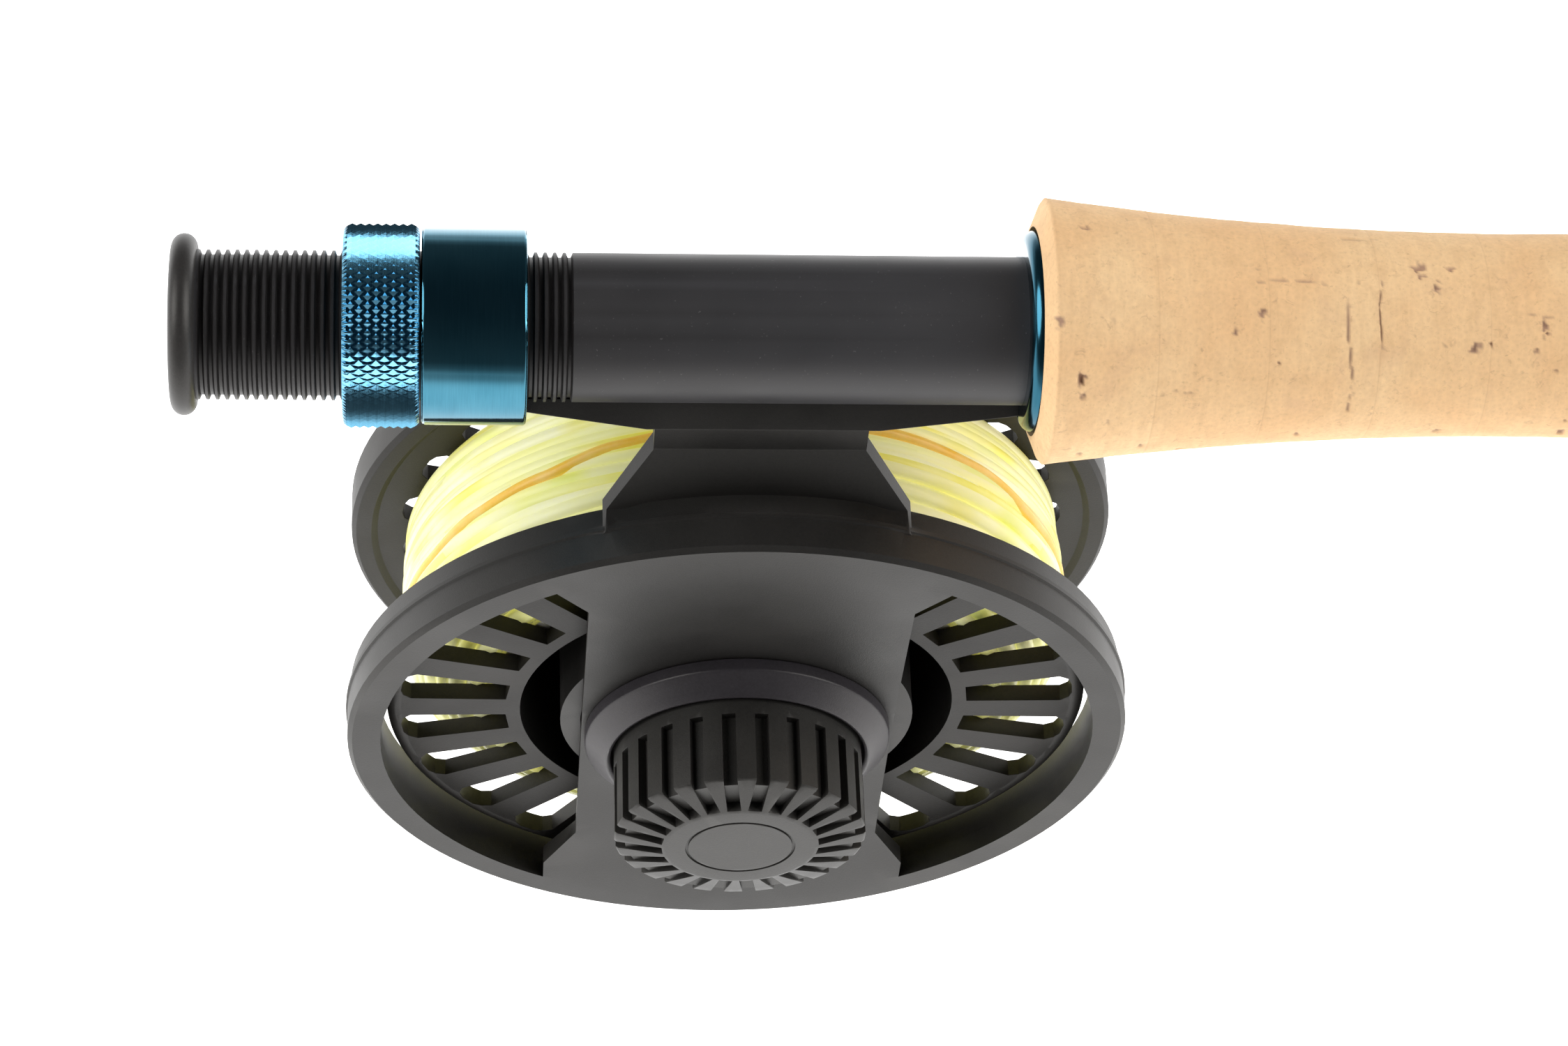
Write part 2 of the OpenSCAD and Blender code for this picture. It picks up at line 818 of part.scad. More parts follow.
module click_gear() {
    tooth = 0.8;
    color([0.68, 0.67, 0.6])
    on_spin(gear_y)
    difference() {
        linear_extrude(gear_t)
        polygon([
            for (k = [0 : gear_teeth - 1])
                let (a = 360 * k / gear_teeth, s = 360 / gear_teeth)
                each [
                    for (q = [[0.12, 0], [0.38, tooth], [0.62, tooth], [0.88, 0]])
                        (gear_r - tooth + q[1]) * [cos(a + s * q[0]), sin(a + s * q[0])]
                ]
        ]);
        translate([0, 0, -1]) cylinder(r = hub_r, h = gear_t + 2, $fn = round_fn);
    }
}

pawl_pivot = [pawl_r * cos(pawl_angle), pawl_r * sin(pawl_angle)];
pawl_pin_r = 0.9;

module click_pawl() {
    reach = gear_r + 0.12;
    color([0.62, 0.62, 0.6])
    on_spin(gear_y)
    rotate([0, 0, pawl_angle])
    difference() {
        union() {
            translate([pawl_r, 0, 0]) cylinder(r = 1.9, h = gear_t, $fn = small_fn);
            linear_extrude(gear_t) polygon([[pawl_r, 1.8], [reach, 0.25], [reach, -0.25], [pawl_r, -1.8]]);
        }
        translate([pawl_r, 0, -1]) cylinder(r = pawl_pin_r + fit, h = gear_t + 2, $fn = small_fn);
    }
}

cover_y = cup_end_y - 1.4;

module pawl_pin() {
    color([0.66, 0.66, 0.68])
    on_spin()
    translate([pawl_pivot[0], pawl_pivot[1], gear_y])
    cylinder(r = pawl_pin_r, h = cover_y - gear_y, $fn = small_fn);
}

// A small coil spring round the pawl's pin
module pawl_spring() {
    turns = 3;
    rise = 1.05;
    coil_r = 1.55;
    color([0.7, 0.7, 0.72])
    on_spin()
    translate([pawl_pivot[0], pawl_pivot[1], gear_y + gear_t + 0.7])
    wire([for (a = [0 : 30 : 360 * turns]) [coil_r * cos(a), coil_r * sin(a), rise * a / 360]], 0.25);
}

cover_screw_r = 17;
cover_screw_angles = [0, 120, 240];

module drag_cover() {
    color([0.14, 0.14, 0.14])
    difference() {
        on_spin(cover_y) tube(cup_inner_r, hub_r + 0.5, 1.4);
        for (a = cover_screw_angles)
            on_spin(cover_y - 1) rotate([0, 0, a + 15]) translate([cover_screw_r, 0, 0])
            cylinder(r = 0.8, h = 4, $fn = small_fn);
    }
}

module cover_screws() {
    color([0.6, 0.6, 0.62])
    for (a = cover_screw_angles)
        on_spin(cover_y - 1.2) rotate([0, 0, a + 15]) translate([cover_screw_r, 0, 0]) {
            cylinder(r = 0.8, h = 2.6, $fn = small_fn);
            translate([0, 0, 2.6])
            difference() {
                cylinder(r = 1.5, h = 0.9, $fn = small_fn);
                translate([-2, -0.2, 0.5]) cube([4, 0.4, 1]);
            }
        }
}

// ---------- Spool ----------

module slot_cutter(y, depth) {
    for (k = [0 : spool_slots - 1])
        rotate([0, 0, 360 * (k + 0.5) / spool_slots])
        translate([0, 0, y])
        linear_extrude(depth) {
            polygon([
                [slot_in_r, -slot_w_in / 2], [slot_out_r - 1.5, -slot_w_out / 2],
                [slot_out_r - 0.4, -slot_w_out / 2 + 0.8],
                [slot_out_r, -slot_w_out / 2 + 2], [slot_out_r, slot_w_out / 2 - 2],
                [slot_out_r - 0.4, slot_w_out / 2 - 0.8], [slot_out_r - 1.5, slot_w_out / 2],
                [slot_in_r, slot_w_in / 2]
            ]);
        }
}

module spool() {
    near_back = flange_y + flange_t;
    color([0.15, 0.145, 0.14])
    on_spin()
    difference() {
        union() {
            turned([
                [arbor_inner_r, flange_y], [flange_r - rim_bead_r, flange_y],
                [flange_r - rim_bead_r, near_back],
                [arbor_outer_r, near_back], [arbor_outer_r, far_y], [rim_in_r - 0.8, far_y],
                [rim_in_r, far_y - 0.6], [ring_r - 0.7, far_y - 0.6], [ring_r - 0.1, far_y],
                [ring_r - 0.1, rim_end_y - 1],
                [ring_r - 0.9, rim_end_y], [rim_in_r + 0.6, rim_end_y], [rim_in_r, rim_end_y - 0.6],
                [rim_in_r, spool_face_y], [hub_r + fit, spool_face_y], [hub_r + fit, 4], [hub_wall_r, 4],
                [hub_wall_r, web_y], [arbor_inner_r, web_y]
            ], 180);
            rotate_extrude($fn = 180)
            translate([flange_r - rim_bead_r, flange_y + flange_t / 2]) circle(r = rim_bead_r,
                $fn = small_fn);
        }
        slot_cutter(flange_y - 1, flange_t + 2);
        slot_cutter(far_y - 1, far_t + 2);
        at_handle() translate([0, 0, far_y - 1]) cylinder(r = post_r, h = far_t + 2, $fn = small_fn);
    }
}

module spool_cap() {
    cap_y = spool_face_y + 0.1;
    grip_slots = 8;
    color([0.1, 0.32, 0.44])
    on_spin()
    difference() {
        turned([
            [0, 4], [1.25, 4], [1.25, cap_y], [hub_wall_r, cap_y], [hub_wall_r, cap_y + 2.2],
            [hub_wall_r - 0.8, cap_y + 3], [0, cap_y + 3]
        ]);
        for (k = [0 : grip_slots - 1])
            rotate([0, 0, 360 * k / grip_slots]) translate([hub_wall_r + 1.3, 0, cap_y - 1])
            cylinder(r = 2.6, h = 6, $fn = small_fn);
        translate([0, 0, cap_y + 2.2]) cylinder(r = 2.4, h = 2, $fn = 6);
    }
}

boss_r = 5.4;

// The handle hangs below the spool's axis at rest
module at_handle() translate([0, handle_r, 0]) children();

module counterweight() {
    color([0.6, 0.61, 0.62])
    on_spin(spool_face_y)
    translate([0, -handle_r, 0])
    turned([[0, 0], [boss_r, 0], [boss_r, 2.8], [boss_r - 0.8, 3.6], [0, 3.6]], small_fn);
}

post_end_y = spool_face_y + 3 + handle_len;

module handle_post() {
    color([0.64, 0.65, 0.66])
    on_spin()
    at_handle() {
        turned([
            [0, far_y], [post_r, far_y], [post_r, spool_face_y], [boss_r - 0.6, spool_face_y],
            [boss_r - 0.6, spool_face_y + 2], [post_r, spool_face_y + 2.2], [post_r, post_end_y],
            [0, post_end_y]
        ], small_fn);
    }
}

module handle_knob() {
    base_y = spool_face_y + 2.2 + knob_gap;
    length = handle_len - 1;
    waist = [for (k = [0 : 12]) let (t = k / 12) [4.4 + 1.9 * pow(abs(2 * t - 0.9), 1.6),
        0.7 + (length - 1.4) * t]];
    color([0.09, 0.09, 0.095])
    on_spin(base_y)
    at_handle()
    turned(concat([[post_r + fit, 0], [5.1, 0]], waist, [[6.2, length], [post_r + fit, length]]), small_fn);
}

module handle_screw() {
    color([0.7, 0.71, 0.72])
    on_spin(post_end_y)
    at_handle()
    difference() {
        turned([[0, 0], [3.4, 0], [3.4, 0.9], [2.6, 1.5], [0, 1.5]], small_fn);
        translate([-4, -0.4, 0.8]) cube([8, 0.8, 2]);
    }
}

backing_r = 31;
pack_y0 = flange_y + flange_t + 0.2;
pack_y1 = far_y - 0.2;

module backing() {
    color([0.9, 0.88, 0.8])
    on_spin(pack_y0) tube(backing_r, arbor_outer_r, pack_y1 - pack_y0);
}

// Half profile of the wound line: it slopes away beside the near flange
pack_profile = [
    [backing_r, pack_y0], [backing_r + 0.3, pack_y0], [35.6, -8.5], [38.6, -7], [line_r - 0.6, -5],
    [line_r, -3.4], [line_r + 0.3, 1], [line_r + 0.3, 6], [line_r, 10], [line_r - 0.3, pack_y1],
    [backing_r, pack_y1]
];

module fly_line() {
    color([0.93, 0.93, 0.5])
    on_spin()
    turned(pack_profile, 120);
}

butt_cap();
seat_barrel();
seat_arbor();
front_hood();
cork_grip();
winding_check();
hook_keeper();
keeper_binding();
blank_butt();
slide_hood();
lock_ring();
blank_2();
bindings_2();
stripping_frames();
guide_inserts();
snake_guide_2();
blank_3();
bindings_3();
snake_guides_3();
blank_tip();
bindings_tip();
snake_guides_tip();
tip_top();
reel_frame();
reel_foot();
foot_screws();
drag_bezel();
drag_knob();
drag_stem();
spindle();
spring_washers();
pressure_plate();
carbon_washers();
drag_disc();
drag_hub();
one_way_clutch();
hub_bush();
click_gear();
click_pawl();
pawl_pin();
pawl_spring();
drag_cover();
cover_screws();
spool();
spool_cap();
counterweight();
handle_post();
handle_knob();
handle_screw();
backing();
fly_line();
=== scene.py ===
import bpy, bmesh, math, random
from mathutils import Matrix, Vector, noise


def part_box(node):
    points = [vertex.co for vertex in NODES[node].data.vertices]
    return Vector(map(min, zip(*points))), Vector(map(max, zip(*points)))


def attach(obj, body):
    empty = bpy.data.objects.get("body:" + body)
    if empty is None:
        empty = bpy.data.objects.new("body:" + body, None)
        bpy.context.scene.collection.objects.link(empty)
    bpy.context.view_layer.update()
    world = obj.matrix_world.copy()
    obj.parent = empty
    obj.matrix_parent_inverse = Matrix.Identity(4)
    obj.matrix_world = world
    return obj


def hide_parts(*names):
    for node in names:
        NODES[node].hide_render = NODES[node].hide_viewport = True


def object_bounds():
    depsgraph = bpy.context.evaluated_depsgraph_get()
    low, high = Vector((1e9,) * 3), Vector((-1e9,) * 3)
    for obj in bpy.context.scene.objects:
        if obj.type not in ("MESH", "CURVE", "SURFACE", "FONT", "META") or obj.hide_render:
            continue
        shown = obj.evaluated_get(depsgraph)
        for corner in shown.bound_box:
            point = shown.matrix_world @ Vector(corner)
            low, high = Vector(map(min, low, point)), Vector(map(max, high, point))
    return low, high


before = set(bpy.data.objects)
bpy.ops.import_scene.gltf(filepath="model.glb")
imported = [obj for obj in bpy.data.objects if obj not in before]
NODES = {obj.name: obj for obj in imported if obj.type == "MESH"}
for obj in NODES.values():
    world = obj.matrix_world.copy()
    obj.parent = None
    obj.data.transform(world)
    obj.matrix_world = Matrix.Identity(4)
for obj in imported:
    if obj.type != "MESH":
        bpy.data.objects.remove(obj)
cad_lo, cad_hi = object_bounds()
MM = 0.001
scene = bpy.context.scene

# ---------------------------------------------------------------- camera
# Place, turn and lens come from a perspective fit to the object's outlines in the photograph
AZ, EL, ROLL = math.radians(8.085), math.radians(59.383), math.radians(7.288)
FOCAL = 108.30
CAMERA_AT = Vector((30.972, -290.298, 451.752)) * MM
look = Vector((math.sin(AZ) * math.cos(EL), math.cos(AZ) * math.cos(EL), -math.sin(EL)))
level = Vector((math.cos(AZ), -math.sin(AZ), 0))
over = level.cross(look)
right = level * math.cos(ROLL) + over * math.sin(ROLL)
up = -level * math.sin(ROLL) + over * math.cos(ROLL)
cam_data = bpy.data.cameras.new("camera")
cam_data.lens = FOCAL
cam_data.sensor_width = 36.0
cam_data.clip_start, cam_data.clip_end = 0.02, 60.0
camera = bpy.data.objects.new("camera", cam_data)
scene.collection.objects.link(camera)
turn = Matrix((right, up, -look)).transposed().to_4x4()
camera.matrix_world = Matrix.Translation(CAMERA_AT) @ turn
scene.camera = camera
scene.view_settings.view_transform = "Standard"

# ---------------------------------------------------------------- surroundings


def soft_sun(name, toward, angle, strength):
    """A broad, even light from one side, the same along the whole rod."""
    data = bpy.data.lights.new(name, "SUN")
    data.angle = math.radians(angle)
    data.energy = strength
    o = bpy.data.objects.new(name, data)
    scene.collection.objects.link(o)
    o.rotation_mode = "QUATERNION"
    o.rotation_quaternion = Vector(toward).to_track_quat("-Z", "Y")


def studio_world():
    """Surroundings that are bright at and below the horizon and fade to dark overhead."""
    world = bpy.data.worlds.new("studio")
    scene.world = world
    world.use_nodes = True
    tree = world.node_tree
    tree.nodes.clear()
    out = tree.nodes.new("ShaderNodeOutputWorld")
    back = tree.nodes.new("ShaderNodeBackground")
    ramp = tree.nodes.new("ShaderNodeValToRGB")
    place = tree.nodes.new("ShaderNodeTexCoord")
    axes = tree.nodes.new("ShaderNodeSeparateXYZ")
    height = tree.nodes.new("ShaderNodeMapRange")
    height.inputs["From Min"].default_value = -1
    height.inputs["From Max"].default_value = 1
    tree.links.new(place.outputs["Generated"], axes.inputs[0])
    tree.links.new(axes.outputs["Z"], height.inputs["Value"])
    tree.links.new(height.outputs[0], ramp.inputs[0])
    tree.links.new(ramp.outputs[0], back.inputs[0])
    tree.links.new(back.outputs[0], out.inputs[0])
    stops = ramp.color_ramp.elements
    stops[0].position, stops[0].color = 0.50, (0.80, 0.80, 0.80, 1)
    stops[1].position, stops[1].color = 1.0, (0.05, 0.05, 0.053, 1)
    for at, grey in ((0.525, 0.50), (0.555, 0.28), (0.62, 0.12)):
        stops.new(at).color = (grey, grey, grey, 1)


studio_world()

# ---------------------------------------------------------------- materials


class Mat:
    """A material under construction: a Principled shader and the nodes that feed it."""

    def __init__(self, name, rough=0.5, metal=0.0, spec=0.5, coat=0.0, coat_rough=0.05):
        self.m = bpy.data.materials.new(name)
        self.m.use_nodes = True
        self.t = self.m.node_tree
        self.b = self.t.nodes["Principled BSDF"]
        self.b.inputs["Roughness"].default_value = rough
        self.b.inputs["Metallic"].default_value = metal
        self.b.inputs["Specular IOR Level"].default_value = spec
        self.b.inputs["Coat Weight"].default_value = coat
        self.b.inputs["Coat Roughness"].default_value = coat_rough
        self.place = self.node("ShaderNodeTexCoord").outputs["Object"]
        self.height = None

    def node(self, kind, **values):
        n = self.t.nodes.new(kind)
        for k, v in values.items():
            setattr(n, k, v)
        return n

    def join(self, a, b):
        self.t.links.new(a, b)

    def feed(self, socket, value):
        """Gives a socket a link, a colour or a plain value."""
        if hasattr(value, "is_linked"):
            self.join(value, socket)
        elif isinstance(value, tuple):
            socket.default_value = (*value, 1)
        else:
            socket.default_value = value

    def scaled(self, factors):
        n = self.node("ShaderNodeMapping")
        n.inputs["Scale"].default_value = factors
        self.join(self.place, n.inputs["Vector"])
        return n.outputs[0]

    def noise(self, size, detail=2.0, rough=0.5, stretch=(1, 1, 1), warp=0.0):
        n = self.node("ShaderNodeTexNoise")
        n.inputs["Scale"].default_value = 1.0 / size
        n.inputs["Detail"].default_value = detail
        n.inputs["Roughness"].default_value = rough
        n.inputs["Distortion"].default_value = warp
        self.join(self.scaled(stretch), n.inputs["Vector"])
        return n.outputs["Fac"]

    def cells(self, size):
        """The distance to the nearest of many scattered points."""
        n = self.node("ShaderNodeTexVoronoi")
        n.inputs["Scale"].default_value = 1.0 / size
        self.join(self.scaled((1, 1, 1)), n.inputs["Vector"])
        return n.outputs["Distance"]

    def span(self, value, a, b, lo=0.0, hi=1.0):
        """Maps a value's stretch from a to b onto the one from lo to hi."""
        n = self.node("ShaderNodeMapRange")
        n.inputs["From Min"].default_value = a
        n.inputs["From Max"].default_value = b
        n.inputs["To Min"].default_value = lo
        n.inputs["To Max"].default_value = hi
        self.join(value, n.inputs["Value"])
        return n.outputs[0]

    def ramp(self, value, *marks):
        """A colour by value: each mark is a place and a colour."""
        n = self.node("ShaderNodeValToRGB")
        e = n.color_ramp.elements
        e[0].position, e[0].color = marks[0][0], (*marks[0][1], 1)
        e[1].position, e[1].color = marks[-1][0], (*marks[-1][1], 1)
        for at, colour in marks[1:-1]:
            e.new(at).color = (*colour, 1)
        self.join(value, n.inputs[0])
        return n.outputs[0]

    def mix(self, fac, a, b):
        """Two colours by a factor. Sockets 6 and 7 are the Mix node's colour pair."""
        n = self.node("ShaderNodeMix", data_type="RGBA")
        self.feed(n.inputs[0], fac)
        self.feed(n.inputs[6], a)
        self.feed(n.inputs[7], b)
        return n.outputs[2]

    def calc(self, a, b, how="ADD"):
        n = self.node("ShaderNodeMath", operation=how)
        self.feed(n.inputs[0], a)
        self.feed(n.inputs[1], b)
        return n.outputs[0]

    def colour(self, c):
        self.join(c, self.b.inputs["Base Color"])

    def roughness(self, r):
        self.join(r, self.b.inputs["Roughness"])

    def bump(self, height, depth):
        """Adds a relief of that depth in metres."""
        n = self.node("ShaderNodeBump")
        n.inputs["Distance"].default_value = depth
        n.inputs["Strength"].default_value = 1.0
        self.join(height, n.inputs["Height"])
        if self.height is not None:
            self.join(self.height, n.inputs["Normal"])
        self.height = n.outputs[0]
        self.join(self.height, self.b.inputs["Normal"])

    def edges(self):
        """1 along convex edges, 0 elsewhere: the mask for rubbed wear and a painted edge highlight."""
        p = self.node("ShaderNodeNewGeometry").outputs["Pointiness"]
        return self.span(p, 0.53, 0.60)


def shade(tone, factor):
    """A colour made darker or lighter."""
    return tuple(min(1, c * factor) for c in tone)


def matte_black(name, dark, light, rough, grain=0.16e-3, depth=0.018e-3, marks_and_painted_light=0.3, spec=0.35):
    """Cast or moulded black: fine grain, cloudy tone, and convex edges lightened as rubbed wear and as a
    painted edge highlight.
    """
    k = Mat(name, rough=rough, spec=spec)
    k.b.inputs["Specular Tint"].default_value = (1.0, 0.97, 0.92, 1)
    cloud = k.noise(9e-3, 3.0)
    speck = k.noise(0.35e-3, 2.0, 0.7)
    body = k.ramp(cloud, (0.3, dark), (0.7, light))
    body = k.mix(k.span(speck, 0.3, 0.75, 0.0, 0.28), body, shade(light, 1.7))
    # Convex edges lightened: rubbed wear and a painted edge highlight.
    body = k.mix(k.calc(k.edges(), marks_and_painted_light, "MULTIPLY"), body, shade(light, 3.0))
    k.colour(body)
    k.roughness(k.span(cloud, 0.2, 0.8, rough - 0.05, rough + 0.06))
    k.bump(k.noise(grain, 2.0, 0.6), depth)
    return k.m


def anodised_black(name, tone, rough):
    """Black anodised tube: satin, with turning marks round the axis, a few rubbed places, and convex edges
    lightened as rubbed wear and as a painted edge highlight.
    """
    k = Mat(name, rough=rough, spec=0.34)
    k.b.inputs["Specular Tint"].default_value = (1.0, 0.97, 0.94, 1)
    turned = k.noise(0.25e-3, 2.0, 0.6, (1.0, 0.04, 0.04))
    cloud = k.noise(14e-3, 3.0, 0.6)
    dust = k.noise(0.3e-3, 1.0, 0.5)
    body = k.ramp(cloud, (0.25, shade(tone, 0.8)), (0.75, shade(tone, 1.2)))
    body = k.mix(k.span(dust, 0.72, 0.80, 0.0, 0.35), body, (0.16, 0.15, 0.15))
    # Convex edges lightened: rubbed wear and a painted edge highlight.
    body = k.mix(k.calc(k.edges(), 0.25, "MULTIPLY"), body, (0.12, 0.12, 0.13))
    k.colour(body)
    k.roughness(k.span(cloud, 0.2, 0.8, rough - 0.05, rough + 0.07))
    k.bump(turned, 0.006e-3)
    return k.m


def anodised_blue(name, deep, bright, rough, marks=0.004e-3):
    """Dyed anodised aluminium: a metal whose tint lightens a little along convex edges, as rubbed wear and
    as a painted edge highlight.
    """
    k = Mat(name, rough=rough, metal=1.0)
    cloud = k.noise(6e-3, 2.0)
    turned = k.noise(0.12e-3, 2.0, 0.6, (1.0, 0.03, 0.03))
    body = k.ramp(cloud, (0.3, deep), (0.7, bright))
    body = k.mix(k.span(turned, 0.35, 0.7, 0.0, 0.25), body, shade(bright, 1.35))
    # Convex edges lightened: rubbed wear and a painted edge highlight.
    body = k.mix(k.calc(k.edges(), 0.35, "MULTIPLY"), body, shade(bright, 2.2))
    k.colour(body)
    k.roughness(k.span(turned, 0.3, 0.7, rough * 0.8, rough * 1.25))
    k.bump(turned, marks)
    return k.m


def plain_metal(name, tone, rough, stretch=(1, 1, 0.05)):
    """Machined metal with fine directional marks."""
    k = Mat(name, rough=rough, metal=1.0)
    lines = k.noise(0.15e-3, 2.0, 0.6, stretch)
    cloud = k.noise(5e-3, 2.0)
    body = k.ramp(cloud, (0.3, shade(tone, 0.85)), (0.7, tone))
    body = k.mix(k.span(lines, 0.35, 0.7, 0.0, 0.3), body, shade(tone, 1.25))
    k.colour(body)
    k.roughness(k.span(lines, 0.3, 0.7, rough * 0.8, rough * 1.3))
    k.bump(lines, 0.004e-3)
    return k.m


def thread_wrap(name, tone):
    """Varnished thread: turns 0.12 mm apart under a clear coat."""
    k = Mat(name, rough=0.45, coat=0.9, coat_rough=0.06)
    w = k.node("ShaderNodeTexWave", wave_type="BANDS", bands_direction="X", wave_profile="SIN")
    w.inputs["Scale"].default_value = 2600.0
    k.join(k.place, w.inputs["Vector"])
    strand = w.outputs["Fac"]
    tint = k.noise(3e-3, 2.0)
    body = k.mix(strand, shade(tone, 0.45), tone)
    body = k.mix(k.span(tint, 0.4, 0.8, 0.0, 0.35), body, shade(tone, 1.8))
    k.colour(body)
    k.bump(strand, 0.02e-3)
    return k.m


def carbon_blank(name):
    """Gloss varnish over unidirectional carbon with faint spiral tape marks."""
    k = Mat(name, rough=0.32, coat=0.7, coat_rough=0.08)
    fibre = k.noise(0.2e-3, 3.0, 0.6, (0.02, 1, 1))
    w = k.node("ShaderNodeTexWave", wave_type="BANDS", bands_direction="X", wave_profile="SAW")
    w.inputs["Scale"].default_value = 55.0
    w.inputs["Distortion"].default_value = 0.6
    k.join(k.place, w.inputs["Vector"])
    body = k.ramp(fibre, (0.3, (0.010, 0.014, 0.020)), (0.75, (0.045, 0.055, 0.07)))
    body = k.mix(k.span(w.outputs["Fac"], 0.85, 1.0, 0.0, 0.4), body, (0.07, 0.085, 0.1))
    k.colour(body)
    k.bump(w.outputs["Fac"], 0.012e-3)
    return k.m


def carbon_disc(name):
    """Woven carbon friction disc."""
    k = Mat(name, rough=0.5)
    c = k.node("ShaderNodeTexChecker")
    c.inputs["Scale"].default_value = 700.0
    k.join(k.place, c.inputs["Vector"])
    fibre = k.noise(0.12e-3, 2.0, 0.6, (1, 1, 0.1))
    body = k.mix(c.outputs["Fac"], (0.012, 0.012, 0.013), (0.05, 0.05, 0.053))
    k.colour(k.mix(k.span(fibre, 0.3, 0.7, 0.0, 0.4), body, (0.09, 0.09, 0.095)))
    k.bump(c.outputs["Fac"], 0.02e-3)
    return k.m


def cork_skin(name, tone_a, tone_b, pit):
    """Sanded cork: mottled tan with fine darker grains. It returns the Mat, so that darker pits, partly
    painted shade, and darker seams can be added.
    """
    k = Mat(name, rough=0.72, spec=0.25)
    cloud = k.noise(16e-3, 3.0, 0.55, (1, 1, 1), 0.4)
    patch = k.noise(3.2e-3, 4.0, 0.65)
    fine = k.noise(0.5e-3, 3.0, 0.7)
    body = k.ramp(cloud, (0.3, tone_a), (0.72, tone_b))
    body = k.mix(k.span(patch, 0.48, 0.8, 0.0, 0.55), body, shade(tone_a, 0.8))
    grain = k.noise(0.9e-3, 3.0, 0.6, (1.0, 0.14, 0.14), 0.3)
    body = k.mix(k.span(grain, 0.35, 0.72, 0.0, 0.30), body, shade(tone_a, 0.82))
    bruise = k.noise(5.5e-3, 3.0, 0.6, (1, 1, 1), 0.6)
    red, green, blue = tone_a
    bruised = (red * 0.80, green * 0.80, blue * 0.92)
    body = k.mix(k.span(bruise, 0.58, 0.74, 0.0, 0.35), body, bruised)
    dark = k.noise(1.0e-3, 4.0, 0.66, (0.8, 1, 1), 0.8)
    body = k.mix(k.span(dark, 0.60, 0.72, 0.0, 0.50), body, (red * 0.58, green * 0.54, blue * 0.62))
    body = k.mix(k.span(k.cells(0.55e-3), 0.0, 0.9, 0.16, 0.0), body, pit)
    body = k.mix(k.span(fine, 0.56, 0.75, 0.0, 0.4), body, shade(tone_a, 0.62))
    k.colour(body)
    k.bump(fine, 0.05e-3)
    k.bump(patch, 0.04e-3)
    return k


def line_coat(name, pale, strong, streak):
    """Coated line: a soft plastic skin whose dye runs in long streaks."""
    k = Mat(name, rough=0.34, spec=0.5, coat=0.25, coat_rough=0.2)
    k.b.inputs["Subsurface Weight"].default_value = 0.25
    k.b.inputs["Subsurface Radius"].default_value = (0.9e-3, 0.9e-3, 0.35e-3)
    k.b.inputs["Subsurface Scale"].default_value = 1.0
    slow = k.noise(7e-3, 2.0, 0.5, (1, 1, 1), 0.5)
    fine = k.noise(0.7e-3, 3.0, 0.6)
    body = k.ramp(slow, (0.30, pale), (0.50, strong), (0.62, pale), (0.8, streak))
    body = k.mix(k.span(fine, 0.35, 0.75, 0.0, 0.22), body, shade(pale, 1.06))
    k.colour(body)
    k.bump(fine, 0.02e-3)
    return k.m


FINISH = {
    "black_composite": matte_black(
        "black_composite_skin", (0.018, 0.017, 0.016), (0.028, 0.026, 0.025), 0.42
    ),
    "black_anodised": anodised_black("black_anodised_skin", (0.0125, 0.0115, 0.0115), 0.43),
    "blue_anodised": anodised_blue(
        "blue_anodised_skin", (0.040, 0.155, 0.220), (0.058, 0.190, 0.260), 0.09
    ),
    "cork": cork_skin("cork_skin", (0.84, 0.52, 0.27), (0.90, 0.62, 0.35), (0.40, 0.23, 0.15)).m,
    "cork_composite": cork_skin(
        "cork_filler_skin", (0.26, 0.18, 0.12), (0.34, 0.25, 0.17), (0.1, 0.06, 0.04)
    ).m,
    "bright_wire": plain_metal("bright_wire_skin", (0.66, 0.67, 0.69), 0.16),
    "thread_binding": thread_wrap("thread_binding_skin", (0.02, 0.09, 0.16)),
    "graphite_blank": carbon_blank("graphite_blank_skin"),
    "reel_casting": matte_black("reel_casting_skin", (0.010, 0.0095, 0.009), (0.016, 0.015, 0.014), 0.46),
    "spool_casting": matte_black(
        "spool_casting_skin", (0.012, 0.011, 0.010), (0.018, 0.0165, 0.015), 0.50, spec=0.26
    ),
    "knob_plastic": matte_black("knob_plastic_skin", (0.016, 0.015, 0.014), (0.024, 0.023, 0.021), 0.44),
    "dark_metal": matte_black(
        "dark_metal_skin", (0.022, 0.0195, 0.0225), (0.032, 0.0285, 0.0335), 0.40, marks_and_painted_light=0.15, spec=0.42
    ),
    "steel": plain_metal("steel_skin", (0.56, 0.56, 0.56), 0.26),
    "bronze": plain_metal("bronze_skin", (0.60, 0.40, 0.18), 0.38),
    "carbon": carbon_disc("carbon_skin"),
    "ceramic_insert": matte_black(
        "ceramic_skin", (0.012, 0.012, 0.014), (0.02, 0.02, 0.022), 0.12, marks_and_painted_light=0.0, depth=0.003e-3
    ),
    "backing_line": line_coat("backing_skin", (0.80, 0.78, 0.68), (0.72, 0.69, 0.56), (0.84, 0.82, 0.74)),
    "fly_line": line_coat("line_skin", (0.83, 0.86, 0.36), (0.80, 0.84, 0.14), (0.86, 0.90, 0.52)),
}

for node in NODES.values():
    slot_name = node.data.materials[0].name.split(".")[0]
    node.data.materials[0] = FINISH[slot_name]
# A darker copy of the blue anodise for the front hood: painted shade, for the shadow that the cork casts on
# it.
shaded_hood_blue = anodised_blue("front_hood_shaded_skin", (0.020, 0.085, 0.125), (0.028, 0.105, 0.150), 0.16)
NODES["front_hood"].data.materials[0] = shaded_hood_blue


